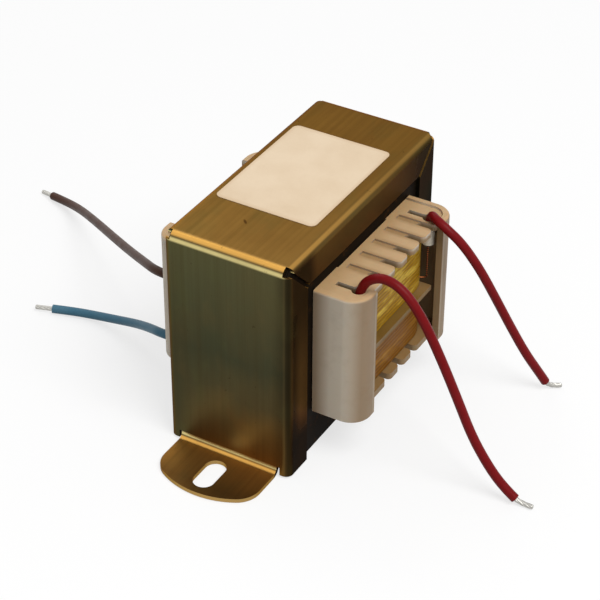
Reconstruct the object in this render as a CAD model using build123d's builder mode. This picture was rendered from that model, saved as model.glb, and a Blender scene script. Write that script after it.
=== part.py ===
from build123d import *
import math
import os

os.makedirs("parts", exist_ok=True)

# All sizes in millimetres.
# Origin: centre of the mounting plane under the feet. +X along the feet, +Z up, -Y is the side with the red leads.

# Core of 66 by 55 punchings with 11 mm yokes
punching = 0.5
layers = 60
core_len = 66.0
core_high = 55.0
yoke = 11.0
corner_crop = 1.2
stack = punching * layers

# Bracket, folded round the core
sheet = 1.0
core_lift = 1.0
case_len = core_len + 2 * sheet
case_wide = stack + 2 * sheet
case_high = core_lift + core_high + sheet
end_fold_r = 2.2
lip_fold_r = 1.8
lip = 8.0
lip_foot_gap = 0.4
mitre_gap = 1.1
relief_r = 1.2
relief_deep = 1.8
foot_inset = 3.25
foot_wide = case_wide - 2 * foot_inset
foot_reach = 15.2
foot_end = case_len / 2 + foot_reach
foot_end_r = 20.0
foot_corner_r = 6.0
foot_bend_r = 1.5
foot_slit = 0.7
foot_root = 4.0
slot_reach = 8.25
slot_pitch = case_len + 2 * slot_reach
slot_wide = 5.2
slot_long = 10.0

half_len = case_len / 2
half_wide = case_wide / 2
core_base = core_lift
core_mid = core_base + core_high / 2
window_low = core_base + yoke
window_high = core_base + core_high - yoke

# Bobbin, set in the core's window
leg_play = 0.3
stack_play = 0.2
tube_wall = 1.2
flange_thick = 1.6
middle_thick = 1.2
lower_room = 14.0
middle_low = window_low + lower_room
flange_play = 0.2
top_teeth_out = 11.3
low_teeth_out = 10.2
back_teeth_out = 9.2
top_reach = stack / 2 + top_teeth_out
low_reach = stack / 2 + low_teeth_out
back_reach = stack / 2 + back_teeth_out
flange_half = 1.5 * yoke - 0.1
shroud_past_window = 0.6
shroud_out_front = 12.6
shroud_out_back = 11.6
shroud_side = 2 * yoke + shroud_past_window
shroud_front = stack / 2 + shroud_out_front
shroud_back = stack / 2 + shroud_out_back
shroud_overlap = 0.6
shroud_inner = flange_half - shroud_overlap
shroud_corner_r = 5.0
shroud_wall = 1.6
shroud_gap = 0.3
shroud_edge_r = 0.6
rim_high = 0.6
top_teeth = (-9.55, -3.75, 2.05, 7.85, 13.65)
low_teeth = (-4.6, 1.8, 8.2)
tooth_gap = 1.8
tooth_root_out = 6.7
tooth_root = stack / 2 + tooth_root_out
tooth_tip_r = 1.1
groove_end_out = 2.6
groove_end = stack / 2 + groove_end_out
groove_deep = 0.5
key_slot = 1.4
key_slot_out = 2.9
key_slot_end = stack / 2 + key_slot_out
lead_hole_d = 3.2
wall_hole_d = 2.8

flange_low = window_low
flange_top = window_high - flange_play
window_side = 2 * yoke - flange_play
tube_x = yoke + leg_play + tube_wall
tube_y = stack / 2 + stack_play + tube_wall
rim_top = flange_top + rim_high

# Windings and tape
tape = 0.4
tape_inset = 0.3
wound_short = 1.5
wound_out = 8.2
wound_x = 2 * yoke - wound_short
wound_y = stack / 2 + wound_out
wound_r = 9.0

# Leads
lead_d = 2.2
strand_d = 1.2
strip_long = 4.5
tail_d = 0.4
tail_r = 0.8
sleeve_d = 2.9
sleeve_long = 4.6
sleeve_depth = 2.6
sleeve_play = 0.05
front_splice_in = 1.0
front_splice_out = 8.4
back_splice_in = 2.6
back_splice_out = 7.4
front_splice_down = 6.8
brown_splice_up = 13.4
blue_splice_up = 5.4
brown_exit_up = 20.5
blue_exit_up = 3.0
red_tail_up = 2.2
blue_tail_up = 11.1
brown_tail_up = 12.3
front_x = shroud_inner + front_splice_in
front_y = -stack / 2 - front_splice_out
back_x = -shroud_inner - back_splice_in
back_y = stack / 2 + back_splice_out
front_sleeve_z = flange_top - front_splice_down
brown_sleeve_z = window_low + brown_splice_up
blue_sleeve_z = window_low + blue_splice_up
brown_exit_z = window_low + brown_exit_up
blue_exit_z = window_low + blue_exit_up
red_tail_z = middle_low + red_tail_up
blue_tail_z = window_low + blue_tail_up
brown_tail_z = window_low + brown_tail_up

# Label
label_long = 35.8
label_wide = 25.5
label_thick = 0.12
label_corner_r = 1.5
label_x = 1.5
label_y = 1.0

floor_z = lead_d / 2
bend_outer_r = sheet + foot_bend_r


# Feet: bend and flat of the bracket's sheet, trimmed to the rounded plan
with BuildPart() as feet:
    for side in (-1, 1):
        wall_in = (side * (half_len - sheet), bend_outer_r)
        wall_out = (side * half_len, bend_outer_r)
        bend_x = side * (half_len + foot_bend_r)
        under = (bend_x - side * bend_outer_r * math.sqrt(0.5), bend_outer_r * (1 - math.sqrt(0.5)))
        over = (bend_x - side * foot_bend_r * math.sqrt(0.5), bend_outer_r - foot_bend_r * math.sqrt(0.5))
        with BuildSketch(Plane.XZ):
            with BuildLine():
                Line(wall_out, wall_in)
                ThreePointArc(wall_in, under, (bend_x, 0))
                Line((bend_x, 0), (side * foot_end, 0))
                Line((side * foot_end, 0), (side * foot_end, sheet))
                Line((side * foot_end, sheet), (bend_x, sheet))
                ThreePointArc((bend_x, sheet), over, wall_out)
            make_face()
        extrude(amount=foot_wide / 2, both=True)
    with BuildSketch(Plane.XY) as foot_plan:
        for side in (-1, 1):
            side_y = foot_wide / 2
            side_x = foot_end - foot_end_r + math.sqrt(foot_end_r**2 - side_y**2)
            with BuildLine():
                Line((side * (half_len - foot_root), -side_y), (side * side_x, -side_y))
                ThreePointArc((side * side_x, -side_y), (side * foot_end, 0), (side * side_x, side_y))
                Line((side * side_x, side_y), (side * (half_len - foot_root), side_y))
                Line((side * (half_len - foot_root), side_y), (side * (half_len - foot_root), -side_y))
            make_face()
        plan_corners = [v for v in foot_plan.vertices() if abs(v.X) > half_len + 5]
        fillet(plan_corners, radius=foot_corner_r)
    extrude(amount=bend_outer_r, mode=Mode.INTERSECT)

# Bracket, one folded sheet: top, two end walls, lips all round, slotted feet
with BuildPart() as mounting_bracket:
    Box(case_len, case_wide, case_high, align=(Align.CENTER, Align.CENTER, Align.MIN))
    top_edges = mounting_bracket.edges().filter_by(Axis.Y).group_by(Axis.Z)[-1]
    fillet(top_edges, radius=end_fold_r)
    front_edges = mounting_bracket.faces().sort_by(Axis.Y)[0].edges()
    back_edges = mounting_bracket.faces().sort_by(Axis.Y)[-1].edges()
    lip_edges = [e for e in front_edges + back_edges if e.center().Z > 0.01]
    fillet(lip_edges, radius=lip_fold_r)
    with BuildSketch(Plane.XZ) as hollow:
        with Locations((0, -1)):
            Rectangle(case_len - 2 * sheet, case_high - sheet + 1, align=(Align.CENTER, Align.MIN))
        inner_corners = hollow.vertices().group_by(Axis.Y)[-1]
        fillet(inner_corners, radius=end_fold_r - sheet)
    extrude(amount=half_wide - sheet, both=True, mode=Mode.SUBTRACT)
    with BuildSketch(Plane.XZ):
        with Locations((0, -1)):
            Rectangle(case_len - 2 * lip, case_high - lip + 1, align=(Align.CENTER, Align.MIN))
    extrude(amount=half_wide + 1, both=True, mode=Mode.SUBTRACT)
    # the lower edges of walls and lips stand just clear of the surface
    with BuildSketch(Plane.XY):
        Rectangle(case_len + 2, case_wide + 2)
    extrude(amount=lip_foot_gap, mode=Mode.SUBTRACT)
    # open mitres between top lip and wall lips, on both faces
    for lip_start in (half_wide - sheet, -half_wide - 1):
        with BuildSketch(Plane.XZ.offset(lip_start)):
            for side in (-1, 1):
                with Locations(Location((side * (half_len - lip / 2), case_high - lip / 2), side * 45)):
                    Rectangle(lip * 1.5, mitre_gap)
        extrude(amount=sheet + 1, mode=Mode.SUBTRACT)
    # relief holes where the folds meet
    for hole_start in (half_wide - relief_deep, -half_wide - 1):
        with BuildSketch(Plane.XZ.offset(hole_start)):
            with Locations((-half_len + 1, case_high - 1), (half_len - 1, case_high - 1)):
                Circle(relief_r)
        extrude(amount=relief_deep + 1, mode=Mode.SUBTRACT)
    # the wall gives way to the foot bend and its slits
    with BuildSketch(Plane.XY):
        with Locations((-half_len, 0), (half_len, 0)):
            Rectangle(2 * sheet + 1, foot_wide + 2 * foot_slit)
    extrude(amount=bend_outer_r, mode=Mode.SUBTRACT)
    add(feet.part)
    with BuildSketch(Plane.XY):
        with Locations((-slot_pitch / 2, 0), (slot_pitch / 2, 0)):
            SlotOverall(slot_long, slot_wide)
    extrude(amount=sheet, mode=Mode.SUBTRACT)

# E punching, legs up, with its two outer corners cropped
with BuildPart() as e_punching:
    with BuildSketch(Plane.XZ) as e_outline:
        with Locations((0, core_base)):
            Rectangle(core_len, core_high - yoke, align=(Align.CENTER, Align.MIN))
        e_corners = e_outline.vertices().group_by(Axis.Y)[0]
        chamfer(e_corners, length=corner_crop)
        with Locations((-1.5 * yoke, window_low), (1.5 * yoke, window_low)):
            Rectangle(yoke, window_high - window_low, align=(Align.CENTER, Align.MIN), mode=Mode.SUBTRACT)
    extrude(amount=punching)

# I punching, closing the E across the top
with BuildPart() as i_punching:
    with BuildSketch(Plane.XZ) as i_outline:
        with Locations((0, window_high)):
            Rectangle(core_len, yoke, align=(Align.CENTER, Align.MIN))
        i_corners = i_outline.vertices().group_by(Axis.Y)[-1]
        chamfer(i_corners, length=corner_crop)
    extrude(amount=punching)

# every second pair is turned over, so the joints interleave
turn_axis = Axis((0, 0, core_mid), (0, 1, 0))
e_turned = e_punching.part.rotate(turn_axis, 180)
i_turned = i_punching.part.rotate(turn_axis, 180)
e_stack = []
i_stack = []
for k in range(layers):
    place = Location((0, (k + 1) * punching - stack / 2, 0))
    e_source = e_turned if k % 2 else e_punching.part
    i_source = i_turned if k % 2 else i_punching.part
    e_stack.append(e_source.solid().moved(place))
    i_stack.append(i_source.solid().moved(place))
core_e_laminations = Compound(e_stack)
core_i_laminations = Compound(i_stack)

# Corner shrouds of the bobbin: hollow corner boxes, open towards the winding, with a rim round the cap
with BuildPart() as shrouds:
    for side in (-1, 1):
        for face, reach in ((-1, shroud_front), (1, shroud_back)):
            low_y = stack / 2 + shroud_gap
            turn_y = reach - shroud_corner_r
            turn_x = shroud_side - shroud_corner_r
            round_45 = shroud_corner_r * math.sqrt(0.5)
            inner_r = shroud_corner_r - shroud_wall
            inner_45 = inner_r * math.sqrt(0.5)
            with BuildSketch(Plane.XY.offset(flange_low)):
                with BuildLine():
                    Line((side * shroud_side, face * low_y), (side * shroud_side, face * turn_y))
                    ThreePointArc(
                        (side * shroud_side, face * turn_y),
                        (side * (turn_x + round_45), face * (turn_y + round_45)),
                        (side * turn_x, face * reach),
                    )
                    Line((side * turn_x, face * reach), (side * shroud_inner, face * reach))
                    Line((side * shroud_inner, face * reach), (side * shroud_inner, face * low_y))
                    Line((side * shroud_inner, face * low_y), (side * shroud_side, face * low_y))
                make_face()
            extrude(amount=rim_top - flange_low)
            inside_x = shroud_side - shroud_wall
            inside_y = reach - shroud_wall
            for low, high in ((flange_low + flange_thick, flange_top - flange_thick), (flange_top, rim_top + 1)):
                with BuildSketch(Plane.XY.offset(low)):
                    with BuildLine():
                        Line((side * inside_x, face * (low_y - 1)), (side * inside_x, face * turn_y))
                        ThreePointArc(
                            (side * inside_x, face * turn_y),
                            (side * (turn_x + inner_45), face * (turn_y + inner_45)),
                            (side * turn_x, face * inside_y),
                        )
                        Line((side * turn_x, face * inside_y), (side * (shroud_inner - 1), face * inside_y))
                        Line((side * (shroud_inner - 1), face * inside_y), (side * (shroud_inner - 1), face * (low_y - 1)))
                        Line((side * (shroud_inner - 1), face * (low_y - 1)), (side * inside_x, face * (low_y - 1)))
                    make_face()
                extrude(amount=high - low, mode=Mode.SUBTRACT)
    rim_edges = []
    for e in shrouds.edges().group_by(Axis.Z)[-1]:
        spot = e.center()
        outer_arc = e.geom_type == GeomType.CIRCLE and e.radius > shroud_corner_r - 0.1
        outer_side = abs(spot.X) > shroud_side - 0.01
        outer_front = spot.Y < -shroud_front + 0.01 or spot.Y > shroud_back - 0.01
        if outer_arc or outer_side or outer_front:
            rim_edges.append(e)
    fillet(rim_edges, radius=shroud_edge_r)
    # keyhole for each red lead in the caps at the front
    for side in (-1, 1):
        with BuildSketch(Plane.XY.offset(flange_top - flange_thick - 0.1)):
            with Locations((side * front_x, front_y)):
                Circle(lead_hole_d / 2)
            with Locations((side * front_x, (front_y - key_slot_end) / 2)):
                Rectangle(key_slot, -front_y - key_slot_end)
        extrude(amount=flange_thick + 0.2, mode=Mode.SUBTRACT)
    # two lead holes in each wall at the back
    with BuildSketch(Plane.XZ.offset(-shroud_back - 1)):
        with Locations(
            (back_x, blue_exit_z), (back_x, brown_exit_z), (-back_x, blue_exit_z), (-back_x, brown_exit_z)
        ):
            Circle(wall_hole_d / 2)
    extrude(amount=shroud_wall + 2, mode=Mode.SUBTRACT)

# Bobbin, one moulding: tube, bottom, middle and top flange, four shrouds
with BuildPart() as bobbin:
    with BuildSketch(Plane.XY.offset(flange_low)):
        Rectangle(2 * tube_x, 2 * tube_y)
    extrude(amount=flange_top - flange_low)
    for low, thick, reach, half in (
        (flange_low, flange_thick, low_reach, flange_half),
        (middle_low, middle_thick, low_reach, shroud_inner),
        (flange_top - flange_thick, flange_thick, top_reach, flange_half),
    ):
        with BuildSketch(Plane.XY.offset(low)):
            Rectangle(2 * window_side, stack + 2 * shroud_gap + 0.2)
            with Locations((0, (back_reach - reach) / 2)):
                Rectangle(2 * half, reach + back_reach)
        extrude(amount=thick)
    # slots between the teeth, front and back
    for low, thick, teeth in (
        (flange_low, flange_thick, low_teeth),
        (flange_top - flange_thick, flange_thick, top_teeth),
    ):
        with BuildSketch(Plane.XY.offset(low)):
            for x in teeth:
                with Locations((x, -tooth_root - tooth_gap / 2), (x, tooth_root + tooth_gap / 2)):
                    Circle(tooth_gap / 2)
                with Locations((x, -tooth_root - tooth_gap / 2 - 4), (x, tooth_root + tooth_gap / 2 + 4)):
                    Rectangle(tooth_gap, 8)
        extrude(amount=thick, mode=Mode.SUBTRACT)
    # the tips of the teeth are rounded
    tip_edges = []
    for e in bobbin.edges().filter_by(Axis.Z):
        spot = e.center()
        at_top = abs(spot.Z - flange_top + flange_thick / 2) < 0.1 and abs(spot.Y + top_reach) < 0.01
        at_low = abs(spot.Z - flange_low - flange_thick / 2) < 0.1 and abs(spot.Y + low_reach) < 0.01
        at_back = abs(spot.Z - middle_low) > 2 and abs(spot.Y - back_reach) < 0.01
        if abs(spot.X) < shroud_inner and (at_top or at_low or at_back):
            tip_edges.append(e)
    fillet(tip_edges, radius=tooth_tip_r)
    # each slot of the top flange runs on towards the core as a shallow groove
    with BuildSketch(Plane.XY.offset(flange_top - groove_deep)):
        for x in top_teeth:
            for face in (-1, 1):
                with Locations((x, face * (tooth_root + groove_end) / 2)):
                    Rectangle(tooth_gap, tooth_root - groove_end + tooth_gap)
    extrude(amount=groove_deep, mode=Mode.SUBTRACT)
    add(shrouds.part)
    with BuildSketch(Plane.XY.offset(flange_low)):
        Rectangle(2 * (yoke + leg_play), stack + 2 * stack_play)
    extrude(amount=flange_top - flange_low, mode=Mode.SUBTRACT)
    # the keyholes run on into the flange
    for side in (-1, 1):
        with BuildSketch(Plane.XY.offset(flange_top - flange_thick - 0.1)):
            with Locations((side * front_x, front_y)):
                Circle(lead_hole_d / 2)
            with Locations((side * front_x, (front_y - key_slot_end) / 2)):
                Rectangle(key_slot, -front_y - key_slot_end)
        extrude(amount=flange_thick + 0.2, mode=Mode.SUBTRACT)


# Windings fill the tube between the flanges, and one tail goes to each splice
with BuildPart() as primary_winding:
    with BuildSketch(Plane.XY.offset(flange_low + flange_thick)) as primary_plan:
        Rectangle(2 * (wound_x - tape), 2 * (wound_y - tape))
        fillet(primary_plan.vertices(), radius=wound_r - tape)
        Rectangle(2 * tube_x, 2 * tube_y, mode=Mode.SUBTRACT)
    extrude(amount=middle_low - flange_low - flange_thick)
    for tail_z, end_z in ((blue_tail_z, blue_sleeve_z + sleeve_long), (brown_tail_z, brown_sleeve_z)):
        with BuildLine() as tail:
            FilletPolyline(
                (back_x + 2.1, back_y - 2.5, tail_z), (back_x, back_y, tail_z), (back_x, back_y, end_z), radius=tail_r
            )
        with BuildSketch(Plane(origin=tail.line @ 0, z_dir=tail.line % 0)):
            Circle(tail_d / 2)
        sweep(path=tail.line)

with BuildPart() as secondary_winding:
    with BuildSketch(Plane.XY.offset(middle_low + middle_thick)) as secondary_plan:
        Rectangle(2 * (wound_x - tape), 2 * (wound_y - tape))
        fillet(secondary_plan.vertices(), radius=wound_r - tape)
        Rectangle(2 * tube_x, 2 * tube_y, mode=Mode.SUBTRACT)
    extrude(amount=flange_top - flange_thick - middle_low - middle_thick)
    for side in (-1, 1):
        with BuildLine() as tail:
            FilletPolyline(
                (side * (front_x - 1.8), front_y + 3.1, red_tail_z),
                (side * front_x, front_y, red_tail_z),
                (side * front_x, front_y, front_sleeve_z),
                radius=tail_r,
            )
        with BuildSketch(Plane(origin=tail.line @ 0, z_dir=tail.line % 0)):
            Circle(tail_d / 2)
        sweep(path=tail.line)

# Tape round each winding, notched where the tails leave it
with BuildPart() as primary_tape:
    with BuildSketch(Plane.XY.offset(flange_low + flange_thick + tape_inset)) as lower_tape_plan:
        Rectangle(2 * wound_x, 2 * wound_y)
        fillet(lower_tape_plan.vertices(), radius=wound_r)
    extrude(amount=middle_low - flange_low - flange_thick - 2 * tape_inset)
    with BuildSketch(Plane.XY.offset(flange_low)) as lower_core_plan:
        Rectangle(2 * (wound_x - tape), 2 * (wound_y - tape))
        fillet(lower_core_plan.vertices(), radius=wound_r - tape)
    extrude(amount=middle_low - flange_low, mode=Mode.SUBTRACT)
    with BuildSketch(Plane.XY.offset(blue_tail_z - 0.5)):
        with Locations((back_x + 1.2, back_y - 1.4)):
            Rectangle(3, 3)
    extrude(amount=5, mode=Mode.SUBTRACT)

with BuildPart() as secondary_tape:
    with BuildSketch(Plane.XY.offset(middle_low + middle_thick + tape_inset)) as upper_tape_plan:
        Rectangle(2 * wound_x, 2 * wound_y)
        fillet(upper_tape_plan.vertices(), radius=wound_r)
    extrude(amount=flange_top - flange_thick - middle_low - middle_thick - 2 * tape_inset)
    with BuildSketch(Plane.XY.offset(middle_low)) as upper_core_plan:
        Rectangle(2 * (wound_x - tape), 2 * (wound_y - tape))
        fillet(upper_core_plan.vertices(), radius=wound_r - tape)
    extrude(amount=flange_top - middle_low, mode=Mode.SUBTRACT)
    with BuildSketch(Plane.XY.offset(middle_low)):
        with Locations((-front_x + 1, front_y + 1.7), (front_x - 1, front_y + 1.7)):
            Rectangle(3, 3)
    extrude(amount=red_tail_z + 0.5 - middle_low, mode=Mode.SUBTRACT)


# Splice sleeves: the lead enters one end, the tail meets the other
def splice(x, y, z, opens_up):
    bore_z = z + sleeve_long - sleeve_depth if opens_up else z
    with BuildPart() as piece:
        with BuildSketch(Plane.XY.offset(z)):
            with Locations((x, y)):
                Circle(sleeve_d / 2)
        extrude(amount=sleeve_long)
        with BuildSketch(Plane.XY.offset(bore_z)):
            with Locations((x, y)):
                Circle(lead_d / 2 + sleeve_play)
        extrude(amount=sleeve_depth, mode=Mode.SUBTRACT)
    return piece


near_red_splice = splice(-front_x, front_y, front_sleeve_z, True)
far_red_splice = splice(front_x, front_y, front_sleeve_z, True)
brown_splice = splice(back_x, back_y, brown_sleeve_z, True)
blue_splice = splice(back_x, back_y, blue_sleeve_z, False)


# Leads: straight runs joined by tangent arcs
def bend_radii(route):
    radii = []
    for a, b, c in zip(route, route[1:], route[2:]):
        ab = Vector(*b) - Vector(*a)
        bc = Vector(*c) - Vector(*b)
        half_turn = math.radians(ab.get_angle(bc)) / 2
        radii.append(0.45 * min(ab.length, bc.length) / math.tan(half_turn))
    return radii


def cord(route, radius, radii):
    with BuildPart() as piece:
        with BuildLine() as path:
            if radii:
                FilletPolyline(*route, radius=radii)
            else:
                Line(*route)
        with BuildSketch(Plane(origin=path.line @ 0, z_dir=path.line % 0)):
            Circle(radius)
        sweep(path=path.line)
    print("length", round(sum(e.length for e in path.edges()), 1), "radii", [round(r, 1) for r in radii])
    return piece


red_seat = front_sleeve_z + sleeve_long - sleeve_depth
near_red_route = [
    (-front_x, front_y, red_seat),
    (-front_x, front_y, flange_top + 1.3),
    (-front_x, front_y - 5.0, flange_top + 5.7),
    (-16.9, -34.2, 49.2),
    (-16.9, -39.2, 43.3),
    (-16.8, -44.0, 34.3),
    (-16.4, -48.6, 24.0),
    (-16.0, -52.1, 15.6),
    (-15.6, -56.2, 8.7),
    (-15.3, -60.2, 3.8),
    (-15.1, -63.4, 1.4),
]
far_red_route = [
    (front_x, front_y, red_seat),
    (front_x, front_y, flange_top + 1.4),
    (front_x - 2.2, front_y - 3.0, flange_top + 1.6),
    (front_x - 2.8, front_y - 6.0, flange_top + 0.4),
    (14.9, -32.9, 42.0),
    (16.4, -37.0, 35.6),
    (18.4, -40.5, 27.6),
    (20.5, -43.9, 19.4),
    (22.8, -47.4, 11.2),
    (25.0, -50.3, 5.3),
    (26.2, -51.7, 2.2),
]
brown_route = [
    (back_x, back_y, brown_sleeve_z + sleeve_long - sleeve_depth),
    (back_x, back_y, brown_exit_z),
    (back_x, shroud_back + 2.2, brown_exit_z - 0.1),
    (-12.6, 36.2, 28.9),
    (-3.6, 47.1, 23.3),
    (6.7, 59.3, 17.2),
    (17.8, 72.9, 11.0),
    (26.7, 84.0, 5.8),
    (32.4, 92.8, 2.2),
    (34.2, 99.2, 1.25),
]
blue_route = [
    (back_x, back_y, blue_sleeve_z + sleeve_depth),
    (back_x, back_y, blue_exit_z),
    (back_x - 0.1, shroud_back + 1.8, blue_exit_z - 0.1),
    (-14.8, 33.8, 11.9),
    (-10.2, 41.2, 7.6),
    (-7.2, 49.3, 3.9),
    (-5.9, 57.0, 1.6),
    (-6.7, 63.0, floor_z),
    (-8.5, 68.2, floor_z),
]
red_lead_near = cord(near_red_route, lead_d / 2, bend_radii(near_red_route))
red_lead_far = cord(far_red_route, lead_d / 2, bend_radii(far_red_route))
brown_lead = cord(brown_route, lead_d / 2, bend_radii(brown_route))
blue_lead = cord(blue_route, lead_d / 2, bend_radii(blue_route))

# Stripped, tinned ends; those of the red leads come down to lie on the surface
def straight_on(route):
    end = Vector(*route[-1])
    return end + (end - Vector(*route[-2])).normalized() * strip_long


near_strand_route = [near_red_route[-1], (-15.0, -64.5, strand_d / 2), (-14.9, -67.7, strand_d / 2)]
far_strand_route = [far_red_route[-1], (26.82, -52.42, strand_d / 2), (28.9, -54.9, strand_d / 2)]
red_strands_near = cord(near_strand_route, strand_d / 2, [strand_d])
red_strands_far = cord(far_strand_route, strand_d / 2, [strand_d])
brown_strands = cord([brown_route[-1], straight_on(brown_route)], strand_d / 2, [])
blue_strands = cord([blue_route[-1], straight_on(blue_route)], strand_d / 2, [])

# Label stuck on the top
with BuildPart() as rating_label:
    with BuildSketch(Plane.XY.offset(case_high)) as label_plan:
        with Locations((label_x, label_y)):
            Rectangle(label_long, label_wide)
        fillet(label_plan.vertices(), radius=label_corner_r)
    extrude(amount=label_thick)

# Each piece goes to its own file
mounting_bracket.part.label = "mounting_bracket"
export_step(mounting_bracket.part, "parts/mounting_bracket.step")
core_e_laminations.label = "core_e_laminations"
export_step(core_e_laminations, "parts/core_e_laminations.step")
core_i_laminations.label = "core_i_laminations"
export_step(core_i_laminations, "parts/core_i_laminations.step")
bobbin.part.label = "bobbin"
export_step(bobbin.part, "parts/bobbin.step")
primary_winding.part.label = "primary_winding"
export_step(primary_winding.part, "parts/primary_winding.step")
secondary_winding.part.label = "secondary_winding"
export_step(secondary_winding.part, "parts/secondary_winding.step")
primary_tape.part.label = "primary_tape"
export_step(primary_tape.part, "parts/primary_tape.step")
secondary_tape.part.label = "secondary_tape"
export_step(secondary_tape.part, "parts/secondary_tape.step")
near_red_splice.part.label = "near_red_splice"
export_step(near_red_splice.part, "parts/near_red_splice.step")
far_red_splice.part.label = "far_red_splice"
export_step(far_red_splice.part, "parts/far_red_splice.step")
brown_splice.part.label = "brown_splice"
export_step(brown_splice.part, "parts/brown_splice.step")
blue_splice.part.label = "blue_splice"
export_step(blue_splice.part, "parts/blue_splice.step")
red_lead_near.part.label = "red_lead_near"
export_step(red_lead_near.part, "parts/red_lead_near.step")
red_lead_far.part.label = "red_lead_far"
export_step(red_lead_far.part, "parts/red_lead_far.step")
brown_lead.part.label = "brown_lead"
export_step(brown_lead.part, "parts/brown_lead.step")
blue_lead.part.label = "blue_lead"
export_step(blue_lead.part, "parts/blue_lead.step")
red_strands_near.part.label = "red_strands_near"
export_step(red_strands_near.part, "parts/red_strands_near.step")
red_strands_far.part.label = "red_strands_far"
export_step(red_strands_far.part, "parts/red_strands_far.step")
brown_strands.part.label = "brown_strands"
export_step(brown_strands.part, "parts/brown_strands.step")
blue_strands.part.label = "blue_strands"
export_step(blue_strands.part, "parts/blue_strands.step")
rating_label.part.label = "rating_label"
export_step(rating_label.part, "parts/rating_label.step")
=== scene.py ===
import math

import bpy
from mathutils import Matrix, Vector


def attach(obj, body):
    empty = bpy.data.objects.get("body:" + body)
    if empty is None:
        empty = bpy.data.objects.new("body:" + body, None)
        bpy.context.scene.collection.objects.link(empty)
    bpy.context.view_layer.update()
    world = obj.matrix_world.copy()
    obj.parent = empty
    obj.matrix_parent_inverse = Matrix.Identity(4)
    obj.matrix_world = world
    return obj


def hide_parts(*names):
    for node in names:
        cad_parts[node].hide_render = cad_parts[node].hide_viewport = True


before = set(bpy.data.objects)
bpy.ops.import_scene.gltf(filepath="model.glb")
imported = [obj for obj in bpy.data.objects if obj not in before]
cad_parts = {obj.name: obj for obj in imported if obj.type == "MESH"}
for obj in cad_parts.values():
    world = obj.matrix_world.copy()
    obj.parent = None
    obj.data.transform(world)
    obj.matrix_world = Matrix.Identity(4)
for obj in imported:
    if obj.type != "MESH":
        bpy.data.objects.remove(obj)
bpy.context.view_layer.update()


# Camera
# A long lens looks down on one end of the transformer, at the photograph's viewing angle.
# The picture is 600 by 600 and its middle is on the lens axis.
picture_pixels = 600.0
focal_pixels = 2013.0
sensor_width = 36.0
camera_data = bpy.data.cameras.new("camera")
camera_data.sensor_width = sensor_width
camera_data.lens = focal_pixels * sensor_width / picture_pixels
camera_data.clip_start = 0.01
camera = bpy.data.objects.new("camera", camera_data)
bpy.context.collection.objects.link(camera)
camera_spot = (-0.333011, -0.192339, 0.297983)
to_right = Vector((0.50488, -0.86318, 0.00415))
to_bottom = Vector((-0.49987, -0.29629, -0.81385))
to_scene = Vector((0.70373, 0.40882, -0.58107))
turn = Matrix((to_right, -to_bottom, -to_scene)).transposed()
camera.matrix_world = Matrix.Translation(camera_spot) @ turn.to_4x4()
bpy.context.scene.camera = camera


# Leads
# Four stranded leads in PVC insulation: two red ones rise out of keyholes in the bobbin's front shrouds,
# and a brown and a blue one leave the wall of a back shroud. All hang over to the surface and end there.
def display(r, g, b):
    """A colour as a screen shows it, 0 to 255, turned into the values that a shader takes."""
    shares = [shown / 255 for shown in (r, g, b)]
    linear = [((share + 0.055) / 1.055) ** 2.4 if share > 0.04045 else share / 12.92 for share in shares]
    return (*linear, 1.0)


def grey(level):
    """A grey of one level, already as a shader takes it."""
    return (level, level, level, 1.0)


class Thread:
    """One shader socket that can be used in plain arithmetic."""

    def __init__(self, finish, socket):
        self.finish = finish
        self.socket = socket

    def __add__(self, other):
        return self.finish.figure("ADD", self, other)

    def __radd__(self, other):
        return self.finish.figure("ADD", other, self)

    def __sub__(self, other):
        return self.finish.figure("SUBTRACT", self, other)

    def __rsub__(self, other):
        return self.finish.figure("SUBTRACT", other, self)

    def __mul__(self, other):
        return self.finish.figure("MULTIPLY", self, other)

    def __rmul__(self, other):
        return self.finish.figure("MULTIPLY", other, self)

    def __truediv__(self, other):
        return self.finish.figure("DIVIDE", self, other)

    def __rtruediv__(self, other):
        return self.finish.figure("DIVIDE", other, self)


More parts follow.
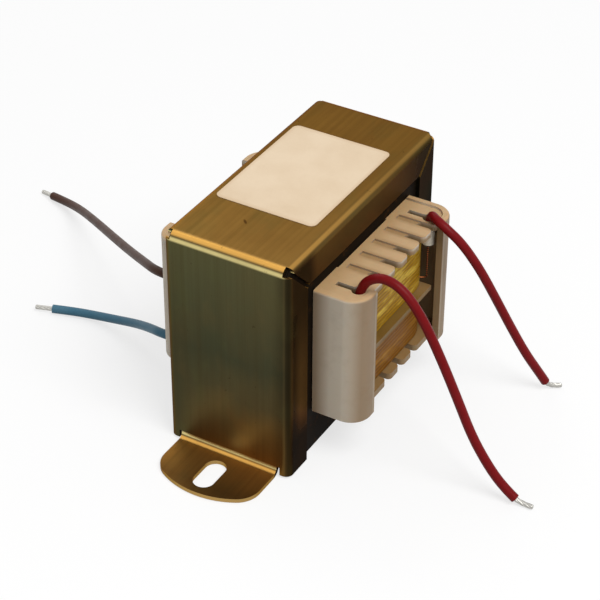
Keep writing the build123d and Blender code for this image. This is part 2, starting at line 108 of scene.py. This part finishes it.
class Finish:
    """A surface finish in the making: its node tree, and the one way to add nodes to it."""

    def __init__(self, owner):
        self.owner = owner
        owner.use_nodes = True
        self.tree = owner.node_tree
        self.tree.nodes.clear()

    def add(self, kind, settings=None, values=None, output=0):
        node = self.tree.nodes.new(kind)
        for key, value in (settings or {}).items():
            if key == "stops":
                ramp = node.color_ramp
                ramp.elements.remove(ramp.elements[1])
                ramp.elements[0].position = value[0][0]
                ramp.elements[0].color = value[0][1]
                for place, colour in value[1:]:
                    ramp.elements.new(place).color = colour
            else:
                setattr(node, key, value)
        for key, value in (values or {}).items():
            if isinstance(value, Thread):
                self.tree.links.new(value.socket, node.inputs[key])
            else:
                node.inputs[key].default_value = value
        return Thread(self, node.outputs[output]) if node.outputs else node

    def figure(self, operation, *numbers):
        return self.add("ShaderNodeMath", {"operation": operation}, dict(enumerate(numbers)))

    def place(self):
        return self.add("ShaderNodeTexCoord", output=3)

    def facing(self):
        return self.add("ShaderNodeTexCoord", output=1)

    def stretch(self, point, x, y, z):
        return self.add("ShaderNodeVectorMath", {"operation": "MULTIPLY"}, {0: point, 1: (x, y, z)})

    def along(self, point, axis):
        return self.add("ShaderNodeSeparateXYZ", None, {0: point}, axis)

    def noise(self, point, scale, detail=2.0, rough=0.5):
        values = {"Vector": point, "Scale": scale, "Detail": detail, "Roughness": rough}
        return self.add("ShaderNodeTexNoise", None, values)

    def ramp(self, factor, *stops):
        shades = [(place, grey(level)) for place, level in stops]
        return self.add("ShaderNodeValToRGB", {"stops": shades}, {0: factor})

    def mix(self, factor, first, second):
        return self.add("ShaderNodeMix", {"data_type": "RGBA"}, {0: factor, 6: first, 7: second}, 2)

    def bump(self, height, strength, distance):
        values = {"Strength": strength, "Distance": distance, "Height": height}
        return self.add("ShaderNodeBump", None, values)

    def skin(self, **sockets):
        values = {key.replace("_", " "): value for key, value in sockets.items()}
        shader = self.add("ShaderNodeBsdfPrincipled", None, values)
        self.add("ShaderNodeOutputMaterial", None, {0: shader})
        return self.owner


def insulation(name, colour, dusty):
    """Satin PVC, a little dulled by handling in soft patches."""
    pvc = Finish(bpy.data.materials.new(name))
    point = pvc.place()
    worn = pvc.ramp(pvc.noise(point, 260.0, detail=4.0, rough=0.6), (0.35, 0.0), (0.75, 1.0))
    grain = pvc.noise(point, 2600.0, detail=3.0)
    tint = pvc.mix(worn * 0.45, colour, dusty)
    fine = pvc.mix(pvc.ramp(grain, (0.3, 0.0), (0.7, 1.0)) * 0.12, tint, grey(0.02))
    relief = pvc.bump(grain * 0.4 + worn * 0.6, strength=0.25, distance=0.00008)
    return pvc.skin(Base_Color=fine, Roughness=0.34 + worn * 0.16, Normal=relief, Specular_IOR_Level=0.1)


def smooth_line(name, route, steps):
    """A curve with one open spline whose control points are the route's points, in metres."""
    data = bpy.data.curves.new(name, "CURVE")
    data.dimensions = "3D"
    line = data.splines.new("NURBS")
    line.points.add(len(route) - 1)
    for spot, place in zip(line.points, route):
        spot.co = (*place, 1.0)
    line.order_u = 3
    line.use_endpoint_u = True
    line.resolution_u = steps
    return data


def dress(piece, node, finish):
    """Puts a new piece in the scene in place of a plain solid."""
    piece.data.materials.append(finish)
    bpy.context.collection.objects.link(piece)
    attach(piece, "root")
    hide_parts(node)


def bare_end(name, route, node):
    """Tinned strands, twisted together: a six-lobed bundle that turns along its line to a blunt tip."""
    points_round = 36
    core_radius = 0.00047
    lobe_height = 0.00013
    run_per_radian = 0.0014
    tip_length = 0.0003
    least_step = 1e-6
    holder = bpy.data.objects.new(name + "_line", smooth_line(name + "_line", route, steps=24))
    sampled = bpy.data.meshes.new_from_object(holder)
    found = [v.co.copy() for v in sampled.vertices]
    spots = found[:1] + [b for a, b in zip(found, found[1:]) if (b - a).length > least_step]
    whole = sum((b - a).length for a, b in zip(spots, spots[1:]))
    verts = []
    faces = []
    run = 0.0
    side = Vector((0, 0, 1))
    for k, spot in enumerate(spots):
        ahead = (spots[min(k + 1, len(spots) - 1)] - spots[max(k - 1, 0)]).normalized()
        side = (side - ahead * side.dot(ahead)).normalized()
        other = ahead.cross(side)
        run += (spot - spots[max(k - 1, 0)]).length
        from_tip = min((whole - run) / tip_length, 1.0)
        taper = 0.7 + 0.3 * math.sqrt(max(0.0, 1 - (1 - from_tip) ** 2))
        for j in range(points_round):
            angle = 2 * math.pi * j / points_round
            radius = (core_radius + lobe_height * abs(math.cos(3 * angle)) ** 0.6) * taper
            spun = angle + run / run_per_radian
            verts.append(spot + side * (radius * math.cos(spun)) + other * (radius * math.sin(spun)))
        if k:
            for j in range(points_round):
                a = (k - 1) * points_round + j
                b = (k - 1) * points_round + (j + 1) % points_round
                faces.append((a, b, b + points_round, a + points_round))
    faces.append(tuple(range(points_round))[::-1])
    faces.append(tuple(len(verts) - points_round + j for j in range(points_round)))
    mesh = bpy.data.meshes.new(name)
    mesh.from_pydata(verts, [], faces)
    mesh.shade_smooth()
    piece = bpy.data.objects.new(name, mesh)
    dress(piece, node, tinned)
    return piece


def lead(name, route, finish, node):
    """A round insulated lead."""
    diameter = 0.0022
    data = smooth_line(name, route, steps=14)
    data.bevel_depth = diameter / 2
    data.bevel_resolution = 6
    data.use_fill_caps = True
    piece = bpy.data.objects.new(name, data)
    dress(piece, node, finish)


solder = Finish(bpy.data.materials.new("tinned_strands"))
solder_mottle = solder.noise(solder.place(), 1800.0, detail=4.0)
tinned = solder.skin(
    Base_Color=solder.mix(solder_mottle, display(150, 148, 142), display(206, 204, 198)),
    Metallic=0.9,
    Roughness=0.28 + solder_mottle * 0.25,
    Normal=solder.bump(solder_mottle, strength=0.3, distance=0.0001),
)
red_pvc = insulation("red_insulation", display(114, 9, 13), display(132, 28, 32))
brown_pvc = insulation("brown_insulation", display(70, 43, 31), display(86, 60, 48))
blue_pvc = insulation("blue_insulation", display(68, 112, 134), display(98, 134, 150))

near_red_route = [
    (-0.0168, -0.0234, 0.04),
    (-0.0168, -0.0234, 0.0461),
    (-0.0168, -0.0284, 0.0505),
    (-0.0169, -0.0342, 0.0492),
    (-0.0169, -0.0392, 0.0433),
    (-0.0168, -0.044, 0.0343),
    (-0.0164, -0.0486, 0.024),
    (-0.016, -0.0521, 0.0156),
    (-0.0156, -0.0562, 0.0087),
    (-0.0153, -0.0602, 0.0038),
    (-0.0151, -0.0634, 0.0014),
]
far_red_route = [
    (0.0168, -0.0234, 0.04),
    (0.0168, -0.0234, 0.0462),
    (0.0146, -0.0264, 0.0464),
    (0.014, -0.0294, 0.0452),
    (0.0149, -0.0329, 0.042),
    (0.0164, -0.037, 0.0356),
    (0.0184, -0.0405, 0.0276),
    (0.0205, -0.0439, 0.0194),
    (0.0228, -0.0474, 0.0112),
    (0.025, -0.0503, 0.0053),
    (0.0262, -0.0517, 0.0022),
]
brown_route = [
    (-0.0184, 0.0224, 0.0274),
    (-0.0184, 0.0224, 0.0325),
    (-0.0184, 0.0288, 0.0324),
    (-0.0126, 0.0362, 0.0289),
    (-0.0036, 0.0471, 0.0233),
    (0.0067, 0.0593, 0.0172),
    (0.0178, 0.0729, 0.011),
    (0.0267, 0.084, 0.0058),
    (0.0324, 0.0928, 0.0022),
    (0.0342, 0.0992, 0.00125),
]
blue_route = [
    (-0.0184, 0.0224, 0.02),
    (-0.0184, 0.0224, 0.015),
    (-0.0185, 0.0284, 0.0149),
    (-0.0148, 0.0338, 0.0119),
    (-0.0102, 0.0412, 0.0076),
    (-0.0072, 0.0493, 0.0039),
    (-0.0059, 0.057, 0.0016),
    (-0.0067, 0.063, 0.0011),
    (-0.0085, 0.0682, 0.0011),
]
near_strand_route = [near_red_route[-1], (-0.015, -0.0645, 0.0006), (-0.0149, -0.0677, 0.0006)]
far_strand_route = [far_red_route[-1], (0.02682, -0.05242, 0.0006), (0.0289, -0.0549, 0.0006)]
brown_strand_route = [brown_route[-1], (0.0348, 0.10133, 0.00093), (0.03541, 0.10351, 0.00061)]
blue_strand_route = [blue_route[-1], (-0.0092, 0.0702, 0.0011), (-0.00997, 0.07245, 0.0011)]
near_strands = bare_end("near_red_strands", near_strand_route, "red_strands_near")
far_strands = bare_end("far_red_strands", far_strand_route, "red_strands_far")
brown_strands = bare_end("brown_lead_strands", brown_strand_route, "brown_strands")
blue_strands = bare_end("blue_lead_strands", blue_strand_route, "blue_strands")
lead(
    "near_red_lead",
    near_red_route,
    red_pvc,
    "red_lead_near",
)
lead(
    "far_red_lead",
    far_red_route,
    red_pvc,
    "red_lead_far",
)
lead(
    "brown_back_lead",
    brown_route,
    brown_pvc,
    "brown_lead",
)
lead(
    "blue_back_lead",
    blue_route,
    blue_pvc,
    "blue_lead",
)


# Mounting bracket
# One strip of steel sheet, folded over the core and turned out into two slotted feet, with lips bent in all
# round. It is zinc plated and passivated yellow: its olive gold drifts to brown and green. Painted light
# and shade lie in its colour: highlights along the folds and on the feet, a lighter top than walls, and
# shade on the lips, the far end and beside the front folds.
def cover(node, finish):
    """Puts a finish on a plain solid that stays."""
    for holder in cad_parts[node].material_slots:
        holder.material = finish


plate = Finish(bpy.data.materials.new("yellow_passivated_steel"))
point = plate.place()
turned = plate.facing()
place_x = plate.along(point, 0)
place_y = plate.along(point, 1)
across = plate.along(turned, 0)
outward = plate.along(turned, 1)
upward = plate.along(turned, 2)
square_x = across * across
square_y = outward * outward
square_z = upward * upward

full_height = 0.057
per_length = 14.7
per_width = 30.0
per_half_width = 62.5
per_50_mm = 20.0
height = plate.along(point, 2) / full_height
lengthwise = place_x * -per_length + 0.5
from_back = place_y * -per_width + 0.5
toward_front = plate.ramp(place_y * -per_half_width, (0.72, 0.0), (0.98, 1.0))
reach_x = plate.figure("ABSOLUTE", place_x) * per_50_mm
toward_end = plate.ramp(lengthwise, (0.3, 0.0), (0.95, 1.0))
far_end = plate.ramp(lengthwise, (0.08, 1.0), (0.45, 0.0))
near_surface = plate.ramp(height, (0.03, 1.0), (0.07, 0.0))
past_wall = plate.ramp(reach_x, (0.69, 0.0), (0.71, 1.0))
on_foot = near_surface * past_wall
up_mask = plate.ramp(upward, (0.35, 0.0), (0.9, 1.0))
lip_mask = plate.ramp(square_y, (0.6, 0.0), (0.95, 1.0))
front_side = plate.ramp(outward * -0.5 + 0.5, (0.55, 0.0), (0.7, 1.0))

clouds = plate.noise(point, 62.0, detail=3.0, rough=0.55)
drift = plate.noise(plate.stretch(point, 0.5, 1.0, 0.5), 150.0, detail=4.0, rough=0.6)
rolled = plate.noise(plate.stretch(point, 14.0, 900.0, 14.0), 1.0, detail=3.0, rough=0.6)
specks = plate.noise(point, 900.0)

high_wall = plate.ramp(height, (0.5, 0.0), (0.95, 1.0))
low_wall = plate.ramp(height + clouds * 0.3 - 0.15, (0.04, 1.0), (0.2, 0.55), (0.34, 0.15), (0.5, 0.0))
warm_low = low_wall * plate.ramp(from_back, (0.1, 0.08), (0.65, 1.0))
wall_tone = plate.mix(high_wall, display(62, 64, 47), display(84, 82, 56))
wall_tone = plate.mix(warm_low, wall_tone, display(142, 104, 50))
# Painted shade: the walls darken toward their front edge, beside the fold.
wall_tone = plate.mix(toward_front * 0.8, wall_tone, display(34, 28, 17))

# Painted sheen: the feet are lighter beside their bend and darker toward their tips.
foot_tip = plate.ramp(reach_x, (0.72, 0.0), (0.92, 1.0))
foot_tone = plate.mix(foot_tip, display(176, 126, 60), display(108, 76, 38))
# Painted highlight: the top grows lighter and more golden toward the near end.
top_tone = plate.mix(toward_end, display(124, 94, 50), display(138, 106, 58))
top_tone = plate.mix(on_foot * 0.9, top_tone, foot_tone)
# Painted light: the top takes a lighter brown gold and the walls a darker olive, as lit from above.
tone = plate.mix(up_mask, wall_tone, top_tone)

# Painted shade on the lips: at the far end, beside bends and edges, at the head near the near end, at the
# foot.
lip_sides = plate.ramp(reach_x, (0.47, 0.7), (0.5, 0.0), (0.58, 0.0), (0.63, 1.0))
below_head = plate.ramp(height, (0.76, 1.0), (0.8, 0.0))
head_height = plate.ramp(height, (0.5, 0.0), (0.78, 0.75))
head_side = plate.ramp(reach_x, (0.44, 0.0), (0.5, 1.0))
lip_foot = plate.ramp(height + drift * 0.08, (0.2, 0.9), (0.36, 0.0))
lip_tone = plate.mix(far_end * 0.8, display(120, 94, 56), display(34, 26, 15))
lip_tone = plate.mix(lip_sides * below_head * 0.65, lip_tone, display(30, 25, 17))
lip_tone = plate.mix(head_height * head_side * toward_end, lip_tone, display(34, 26, 18))
lip_tone = plate.mix(lip_foot, lip_tone, display(30, 25, 17))
tone = plate.mix(lip_mask * 0.85, tone, lip_tone)

brown_cloud = plate.ramp(clouds, (0.42, 0.0), (0.68, 1.0)) * (0.1 + up_mask * 0.2)
green_drift = plate.ramp(drift, (0.5, 0.0), (0.7, 1.0)) * 0.2
gold_drift = plate.ramp(drift, (0.28, 1.0), (0.42, 0.0)) * (0.03 + up_mask * 0.09)
roll_mark = plate.ramp(rolled, (0.4, 0.0), (0.7, 1.0)) * 0.2
tone = plate.mix(brown_cloud, tone, display(112, 80, 42))
tone = plate.mix(green_drift, tone, display(84, 88, 54))
tone = plate.mix(gold_drift, tone, display(160, 122, 66))
tone = plate.mix(roll_mark, tone, display(58, 44, 20))

never_zero = 0.0001
end_share = square_x / (square_x + square_y + never_zero)
corner_fold = square_x * square_y * 4.0
# Painted highlights: a gold line high on the folds and a pale one lower on the end folds.
gold_fold_highlight = plate.ramp(upward, (0.6, 0.0), (0.76, 1.0), (0.93, 1.0), (0.99, 0.0))
gold_fold_highlight = gold_fold_highlight * (0.12 + toward_end * 0.3 + end_share * 0.58)
pale_fold_highlight = plate.ramp(upward, (0.02, 0.0), (0.2, 1.0), (0.4, 1.0), (0.56, 0.0)) * end_share
painted_fold_highlight = gold_fold_highlight + pale_fold_highlight
tone = plate.mix(gold_fold_highlight * (0.65 + drift * 0.4), tone, display(232, 176, 88))
tone = plate.mix(pale_fold_highlight * (0.55 + drift * 0.5), tone, display(226, 208, 142))
# Painted shade on the upright folds at the front, and a painted highlight on those at the back.
tone = plate.mix(corner_fold * front_side * 0.75, tone, display(34, 28, 16))
tone = plate.mix(corner_fold * (1.0 - front_side) * 0.4, tone, display(168, 138, 84))

# Painted highlight along the edges of the feet.
foot_edge_highlight = on_foot * plate.ramp(square_z, (0.1, 1.0), (0.5, 0.0))
dark_speck = plate.ramp(specks, (0.72, 0.0), (0.8, 1.0))
tone = plate.mix(foot_edge_highlight * 0.7, tone, display(196, 160, 98))
tone = plate.mix(dark_speck * 0.5, tone, display(40, 32, 18))

nick_x = -0.0219
nick_y = 0.0023
to_mm = 1000.0
from_nick_x = (place_x - nick_x) * to_mm
from_nick_y = (place_y - nick_y) * to_mm
nick_long = (from_nick_x + from_nick_y) * 0.6
nick_wide = (from_nick_x - from_nick_y) * 1.8
nick = plate.ramp(nick_long * nick_long + nick_wide * nick_wide, (0.2, 1.0), (1.0, 0.0)) * up_mask
tone = plate.mix(nick * 0.75, tone, display(66, 46, 24))

plated = plate.skin(
    Base_Color=tone,
    Metallic=0.86,
    Roughness=0.3 + clouds * 0.14 - painted_fold_highlight * 0.06,
    Normal=plate.bump(rolled * 0.5 + drift * 0.3 + specks * 0.2, strength=0.15, distance=0.0001),
    Specular_IOR_Level=0.1,
    Specular_Tint=display(124, 96, 54),
)
cover("mounting_bracket", plated)


# Core
# Sixty E and sixty I punchings of 0.5 mm silicon steel, turned over in pairs and dipped in dark varnish.
# The sheet edges show as fine lines, and the varnish pools between them.
varnish = Finish(bpy.data.materials.new("core_steel"))
point = varnish.place()
sheet_pitch = 0.0005
sheet_wave = varnish.figure("SINE", varnish.along(point, 1) * (2 * math.pi / sheet_pitch))
edge_line = varnish.ramp(sheet_wave, (0.0, 0.0), (0.9, 1.0))
pooled = varnish.noise(point, 210.0, detail=4.0, rough=0.6)
pool = varnish.ramp(pooled, (0.4, 0.0), (0.7, 1.0))
rust = varnish.ramp(varnish.noise(point, 420.0, detail=5.0, rough=0.65), (0.58, 0.0), (0.72, 1.0))
bare = varnish.mix(edge_line * 0.5, display(22, 17, 12), display(46, 37, 26))
brown_pool = varnish.mix(pool * 0.5, bare, display(30, 21, 12))
core_finish = varnish.skin(
    Base_Color=varnish.mix(rust * 0.4, brown_pool, display(78, 48, 22)),
    Roughness=0.5 + pooled * 0.2,
    Normal=varnish.bump(edge_line * 0.6 + pooled * 0.4, strength=0.4, distance=0.00012),
    Specular_IOR_Level=0.02,
)
cover("core_e_laminations", core_finish)
cover("core_i_laminations", core_finish)


# Bobbin
# One moulding of natural white nylon: a tube with slotted flanges, a middle flange and four corner shrouds.
# Its upturned faces are painted a warm lit tan. Painted warm shade darkens the shrouds' insides, all
# below the top flange between them, parts near the core, front-turned shroud faces, the middle flange
# and the valleys between the teeth. A little dust lies over it all.
nylon = Finish(bpy.data.materials.new("bobbin_nylon"))
point = nylon.place()
turned = nylon.facing()
place_x = nylon.along(point, 0)
flow = nylon.noise(nylon.stretch(point, 1.0, 1.0, 0.35), 90.0, detail=3.0)
grime = nylon.ramp(nylon.noise(point, 240.0, detail=5.0, rough=0.65), (0.5, 0.0), (0.72, 1.0))
grain = nylon.noise(point, 3200.0)

per_20_mm = 50.0
per_100_mm = 10.0
span_x = nylon.figure("ABSOLUTE", place_x)
span_y = nylon.figure("ABSOLUTE", nylon.along(point, 1))
share_x = span_x * per_20_mm
share_y = span_y * per_20_mm
level = nylon.along(point, 2) * per_100_mm

bend_x = 0.0176
bend_y = 0.0226
bend_radius_mm = 5.0
past_x = nylon.figure("MAXIMUM", span_x - bend_x, 0.0)
past_y = nylon.figure("MAXIMUM", span_y - bend_y, 0.0)
from_bend = (past_x * past_x + past_y * past_y) * (to_mm * to_mm)
inner_skin = nylon.ramp(from_bend / (bend_radius_mm * bend_radius_mm), (0.6, 1.0), (0.76, 0.0))
inner_edge = nylon.ramp(share_x, (0.79, 1.0), (0.83, 0.0))
below_cap = nylon.ramp(level, (0.44, 1.0), (0.446, 0.0))
shroud_shade = nylon.figure("MAXIMUM", inner_skin, inner_edge) * below_cap
middle_flange = nylon.ramp(level, (0.255, 0.0), (0.258, 1.0), (0.275, 1.0), (0.28, 0.0))
amid = middle_flange * nylon.ramp(share_x, (0.4, 1.0), (0.7, 0.0))

# Painted shade: parts near the core are darker, and so are shroud faces turned to the front.
near_lip = nylon.ramp(share_y, (0.8, 1.0), (0.98, 0.0))
in_shroud = nylon.ramp(share_x, (0.8, 0.0), (0.84, 1.0))
front_turn = nylon.ramp(nylon.along(turned, 1) * -0.5 + 0.5, (0.55, 0.0), (0.9, 1.0)) * in_shroud
# Painted light: the upturned faces take a warm tan, as lit from above.
upturned = nylon.ramp(nylon.along(turned, 2), (0.3, 0.0), (0.9, 1.0))
side_tone = nylon.mix(near_lip, display(204, 193, 175), display(150, 127, 103))
clean = nylon.mix(front_turn, side_tone, display(144, 122, 97))
white = nylon.mix(flow * 0.3, clean, display(178, 160, 136))
lit_tone = nylon.mix(upturned * 0.8, white, display(196, 158, 109))

first_groove = -0.00955
groove_pitch = 0.0058
groove_wave = nylon.figure("COSINE", (place_x - first_groove) * (2 * math.pi / groove_pitch))
past_near_shroud = nylon.ramp(place_x * -per_20_mm, (0.6, 1.0), (0.66, 0.0))
at_face = nylon.ramp(share_y, (0.8, 0.0), (0.94, 1.0))
among_teeth = past_near_shroud * inner_edge * at_face * (1.0 - below_cap)
# Painted shade in soft valleys between the teeth of the top flange.
valley = nylon.ramp(groove_wave * 0.5 + 0.5, (0.2, 0.0), (0.85, 1.0)) * among_teeth
lit_tone = nylon.mix(valley * 0.6, lit_tone, display(148, 112, 70))
# Painted warm shade inside the shrouds and on all between them below the top flange.
shaded_tone = nylon.mix(shroud_shade * 0.85, lit_tone, display(128, 98, 54))
# Painted shade and a painted amber reflection of the tapes on the middle flange.
shaded_tone = nylon.mix(amid * 0.8, shaded_tone, display(106, 80, 26))
bobbin_finish = nylon.skin(
    Base_Color=nylon.mix(grime * 0.12, shaded_tone, display(120, 94, 62)),
    Roughness=0.42 + grain * 0.12 + grime * 0.1,
    Normal=nylon.bump(grain * 0.5 + flow * 0.5, strength=0.12, distance=0.0001),
    Subsurface_Weight=0.1,
    Subsurface_Scale=0.001,
    Specular_IOR_Level=0.2,
)
cover("bobbin", bobbin_finish)


# Windings
# Enamelled copper wire in close layers, the mains winding below the middle flange and the low-voltage one
# above it. The turns run round the tube, and each winding's two tails run out to the splices in the shrouds.
enamel = Finish(bpy.data.materials.new("magnet_wire"))
point = enamel.place()
turn_pitch = 0.0006
turn_wave = enamel.figure("SINE", enamel.along(point, 2) * (2 * math.pi / turn_pitch))
# Painted shade darkens the crevices between the turns.
turn_round = enamel.ramp(turn_wave, (0.0, 0.0), (0.8, 1.0))
darker = enamel.noise(point, 300.0, detail=3.0)
copper = enamel.mix(darker, display(150, 78, 40), display(196, 116, 62))
wire_finish = enamel.skin(
    Base_Color=enamel.mix(turn_round, display(70, 34, 18), copper),
    Metallic=0.8,
    Roughness=0.24 + darker * 0.16,
    Normal=enamel.bump(turn_round, strength=0.6, distance=0.0002),
)
cover("primary_winding", wire_finish)
cover("secondary_winding", wire_finish)


# Tapes
# A few turns of polyester film tape over each winding, yellow above and amber below, pulled tight over the
# wire. The turns under it show through as bands, and fine creases run along the film.
def film(name, light, dark, crease_highlight):
    """Glossy clear tape over a bed of wire turns, in one colour, with painted highlights along its creases.
    """
    band_pitch = 0.0011
    crease_lean = (0.0, 0.16, 0.0)
    crease_scale = (70.0, 90.0, 360.0)
    tape = Finish(bpy.data.materials.new(name))
    point = tape.place()
    pulled = tape.noise(tape.stretch(point, 40.0, 40.0, 420.0), 1.0, detail=3.0, rough=0.6)
    values = {"Vector": point, "Rotation": crease_lean, "Scale": crease_scale}
    crease = tape.noise(tape.add("ShaderNodeMapping", None, values), 1.0, detail=4.0, rough=0.7)
    bands = tape.figure("SINE", tape.along(point, 2) * (2 * math.pi / band_pitch) + pulled * 5.0)
    bed = tape.ramp(bands * 0.5 + 0.5, (0.15, 0.0), (0.85, 1.0))
    shade = tape.mix(bed * 0.4, light, dark)
    # Painted highlights along the creases of the film.
    lit = tape.mix(tape.ramp(crease, (0.5, 0.0), (0.66, 1.0)) * 0.75, shade, crease_highlight)
    return tape.skin(
        Base_Color=lit,
        Roughness=0.2 + crease * 0.2,
        Specular_IOR_Level=0.03,
        Normal=tape.bump(crease * 0.7 + bed * 0.3, strength=0.5, distance=0.0003),
    )


yellow_film = film("yellow_tape", display(166, 124, 34), display(80, 56, 16), display(228, 196, 84))
amber_film = film("amber_tape", display(134, 88, 32), display(84, 50, 16), display(176, 126, 50))
cover("secondary_tape", yellow_film)
cover("primary_tape", amber_film)


# Splice sleeves
# A short insulating sleeve is shrunk over the soldered joint of each lead and its winding's tail.
# All four lie inside the shrouds.
shrunk = Finish(bpy.data.materials.new("sleeve_plastic"))
point = shrunk.place()
wrinkle = shrunk.noise(shrunk.stretch(point, 1.0, 1.0, 3.0), 700.0, detail=3.0)
sleeve_finish = shrunk.skin(
    Base_Color=shrunk.mix(wrinkle, display(228, 222, 206), display(196, 186, 164)),
    Roughness=0.4 + wrinkle * 0.15,
    Normal=shrunk.bump(wrinkle, strength=0.3, distance=0.0002),
)
for sleeve in ("near_red_splice", "far_red_splice", "brown_splice", "blue_splice"):
    cover(sleeve, sleeve_finish)


# Rating label
# A cream paper label stuck on the top of the bracket, with a soft mottle and slightly browned edges.
# It is left blank.
paper = Finish(bpy.data.materials.new("label_stock"))
point = paper.place()
label_x = 0.0015
label_y = 0.001
half_length_squared = 0.00032
half_width_squared = 0.0001626
fibres = paper.noise(point, 1500.0, detail=5.0, rough=0.7)
stain = paper.noise(point, 110.0, detail=3.0)
mottle = paper.ramp(stain, (0.35, 0.0), (0.7, 1.0))
from_mid_x = paper.along(point, 0) - label_x
from_mid_y = paper.along(point, 1) - label_y
edge_x = paper.ramp(from_mid_x * from_mid_x / half_length_squared, (0.86, 0.0), (1.0, 1.0))
edge_y = paper.ramp(from_mid_y * from_mid_y / half_width_squared, (0.84, 0.0), (1.0, 1.0))
stock = paper.mix(mottle * 0.6, display(226, 205, 176), display(212, 188, 156))
browned = paper.mix((edge_x + edge_y) * 0.35, stock, display(190, 156, 116))
label_finish = paper.skin(
    Base_Color=paper.mix(fibres * 0.14, browned, display(176, 150, 120)),
    Roughness=0.5 + fibres * 0.15,
    Normal=paper.bump(fibres * 0.7 + stain * 0.3, strength=0.15, distance=0.00005),
    Specular_IOR_Level=0.3,
)
cover("rating_label", label_finish)


# Floor and light
# A plain white floor that keeps the shadow, a large soft lamp high in front, a weak one behind and a white
# surround. Floor and surround are white to the camera and in reflections, and light the object only at a
# plain level.
def seen(finish):
    """One for a ray from the camera, or one that a glossy or clear surface sends on."""
    straight = finish.add("ShaderNodeLightPath", output="Is Camera Ray")
    mirrored = finish.add("ShaderNodeLightPath", output="Is Glossy Ray")
    passed = finish.add("ShaderNodeLightPath", output="Is Transmission Ray")
    return finish.figure("MINIMUM", straight + mirrored + passed, 1.0)


surround = Finish(bpy.data.worlds.new("surround"))
ambient = surround.mix(seen(surround), grey(0.42), grey(1.0))
sky = surround.add("ShaderNodeBackground", None, {"Color": ambient})
surround.add("ShaderNodeOutputWorld", None, {0: sky})
bpy.context.scene.world = surround.owner

ground = Finish(bpy.data.materials.new("white_floor"))
shown = seen(ground)
paint = ground.mix(shown, grey(0.5), grey(0.95))
flat_white = ground.add("ShaderNodeBsdfDiffuse", None, {"Color": paint})
bright_white = ground.add("ShaderNodeEmission", None, {"Color": grey(1.0)})
point = ground.place()
out_x = ground.along(point, 0)
out_y = ground.along(point, 1)
far_off = ground.ramp(out_x * out_x + out_y * out_y, (0.02, 0.0), (0.5, 1.0))
whiteness = shown * (0.7 + far_off * 0.3)
both = ground.add("ShaderNodeMixShader", None, {0: whiteness, 1: flat_white, 2: bright_white})
ground.add("ShaderNodeOutputMaterial", None, {0: both})
floor_reach = 3.0
floor_level = -0.0002
floor_corners = ((-1, -1), (1, -1), (1, 1), (-1, 1))
floor_spots = [(x * floor_reach, y * floor_reach, floor_level) for x, y in floor_corners]
floor_mesh = bpy.data.meshes.new("floor")
floor_mesh.from_pydata(floor_spots, [], [(0, 1, 2, 3)])
floor_mesh.materials.append(ground.owner)
floor = bpy.data.objects.new("floor", floor_mesh)
bpy.context.collection.objects.link(floor)


def lamp(name, spot, target, size, power):
    """A square soft lamp at a spot, turned to a target."""
    data = bpy.data.lights.new(name, "AREA")
    data.size = size
    data.energy = power
    piece = bpy.data.objects.new(name, data)
    aim = (Vector(target) - Vector(spot)).to_track_quat("-Z", "Y")
    piece.matrix_world = Matrix.Translation(spot) @ aim.to_matrix().to_4x4()
    bpy.context.collection.objects.link(piece)


lamp("key", (-0.2, -0.48, 0.8), (0.0, 0.0, 0.02), size=0.5, power=6.4)
lamp("back_fill", (0.3, 0.6, 0.6), (0.0, 0.0, 0.03), size=0.5, power=1.2)
bpy.context.scene.view_settings.view_transform = "Standard"
